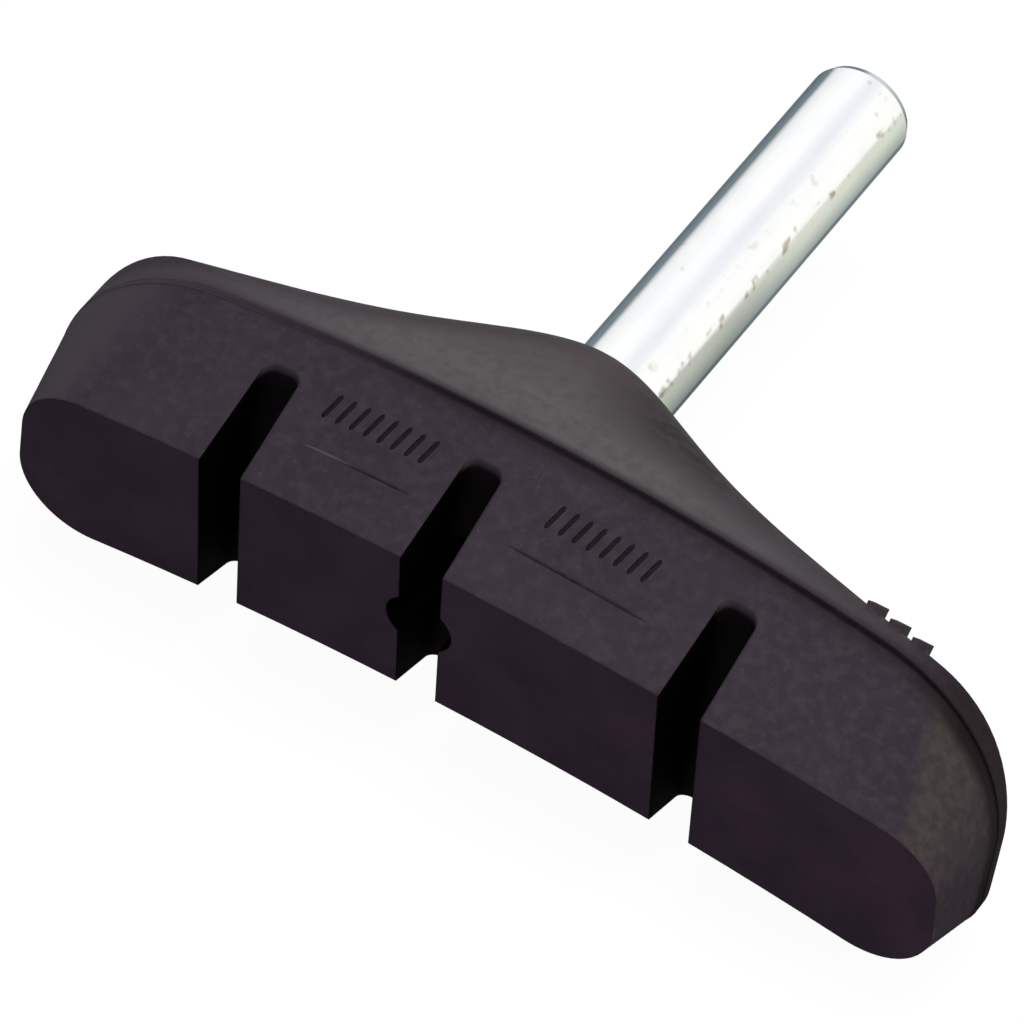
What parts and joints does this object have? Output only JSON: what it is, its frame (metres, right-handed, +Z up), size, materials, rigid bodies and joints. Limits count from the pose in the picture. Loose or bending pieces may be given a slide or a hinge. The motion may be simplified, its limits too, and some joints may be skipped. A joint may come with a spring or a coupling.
{
  "type": "bicycle rim brake pad",
  "caption": "Curved rubber rim brake pad with cross slots and an angled braking face, moulded over a steel insert with a smooth steel post that a brake arm clamps.",
  "frame": {"origin": "on the post axis, at the post's root, where it leaves the backing", "axes": "+X along the pad towards its longer end, +Y along the post away from the rim, +Z up, towards the pad's convex long side"},
  "size_m": [0.0659, 0.0576, 0.0229],
  "materials": {
    "rubber": "moulded, matt to silky",
    "plated_steel": "bright plated",
    "plain_steel": "punched, plain"
  },
  "bodies": {
    "root": {"rubber_pad": "rubber", "post": "plated_steel", "insert_plate": "plain_steel"}
  },
  "joints": []
}
